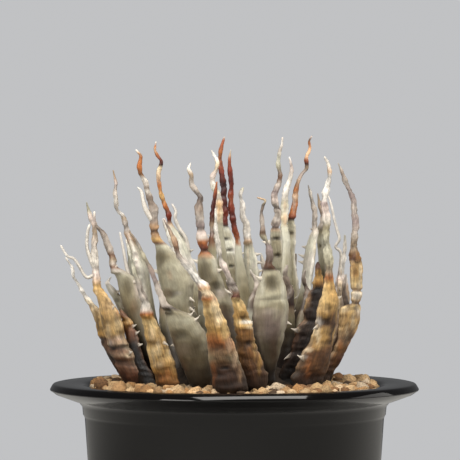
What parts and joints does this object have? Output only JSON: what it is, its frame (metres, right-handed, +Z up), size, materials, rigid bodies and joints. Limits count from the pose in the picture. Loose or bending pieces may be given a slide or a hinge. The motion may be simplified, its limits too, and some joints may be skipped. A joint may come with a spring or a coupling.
{
  "type": "potted agave",
  "caption": "Small rosette agave with thick toothed leaves and long wavy spines, in a black round flared pot topped with pumice gravel.",
  "frame": {"origin": "centre of the pot's foot, on the surface it stands on", "axes": "+Z up along the pot's axis, -Y towards the front of the plant"},
  "size_m": [0.15, 0.15, 0.222],
  "materials": {
    "pot_black": "glossy near-black moulded pot",
    "soil_mix": "brown gritty soil mix",
    "pumice": "matt tan and pinkish porous pumice granules",
    "stem": "dry brown stem",
    "leaf_green": "matt waxy grey-green leaf skin",
    "leaf_pale": "matt pale green leaf skin with white horny edges",
    "leaf_young": "young grey-green leaf with a red-brown or white spine",
    "leaf_straw": "dry straw-coloured leaf with brown stains",
    "leaf_brown": "dry dark brown leaf"
  },
  "bodies": {
    "root": {"stem": "stem", "straw_leaf_front_left_centre": "leaf_straw", "straw_leaf_front_centre": "leaf_straw", "green_leaf_front_left": "leaf_green", "green_leaf_front_right_centre": "leaf_green", "straw_leaf_front_left": "leaf_straw", "straw_leaf_front_right": "leaf_straw", "straw_leaf_left": "leaf_straw", "brown_leaf_right": "leaf_brown", "straw_leaf_right": "leaf_straw", "brown_leaf_left": "leaf_brown", "green_leaf_left_centre": "leaf_green", "green_leaf_centre_left": "leaf_green", "green_leaf_left": "leaf_green", "green_leaf_left_toothed": "leaf_green", "straw_leaf_far_left": "leaf_straw", "straw_leaf_right_spiny": "leaf_straw", "pale_leaf_left": "leaf_pale", "pale_leaf_back_left": "leaf_pale", "pale_leaf_back_centre": "leaf_pale", "pale_leaf_back_right_centre": "leaf_pale", "pale_leaf_back_right": "leaf_pale", "pale_leaf_right_toothed": "leaf_pale", "pale_leaf_right": "leaf_pale", "pale_leaf_centre_right": "leaf_pale", "young_leaf_right_centre": "leaf_young", "young_leaf_centre_left": "leaf_young", "young_leaf_centre": "leaf_young", "young_leaf_centre_right": "leaf_young", "straw_leaf_back_1": "leaf_straw", "brown_leaf_back_2": "leaf_brown", "green_leaf_back_3": "leaf_green", "straw_leaf_back_4": "leaf_straw", "green_leaf_back_5": "leaf_green", "straw_leaf_back_6": "leaf_straw", "green_leaf_back_7": "leaf_green", "brown_leaf_back_8": "leaf_brown", "straw_leaf_back_9": "leaf_straw", "brown_leaf_back_10": "leaf_brown", "green_leaf_inner_1": "leaf_green", "green_leaf_inner_2": "leaf_green", "green_leaf_inner_3": "leaf_green", "green_leaf_inner_4": "leaf_green", "green_leaf_inner_5": "leaf_green", "pale_leaf_inner_6": "leaf_pale", "young_leaf_inner_7": "leaf_young", "young_leaf_inner_8": "leaf_young", "young_leaf_inner_9": "leaf_young", "green_leaf_inner_10": "leaf_green", "young_leaf_inner_11": "leaf_young", "pot": "pot_black", "soil_mix": "soil_mix", "gravel": "pumice"}
  },
  "joints": []
}
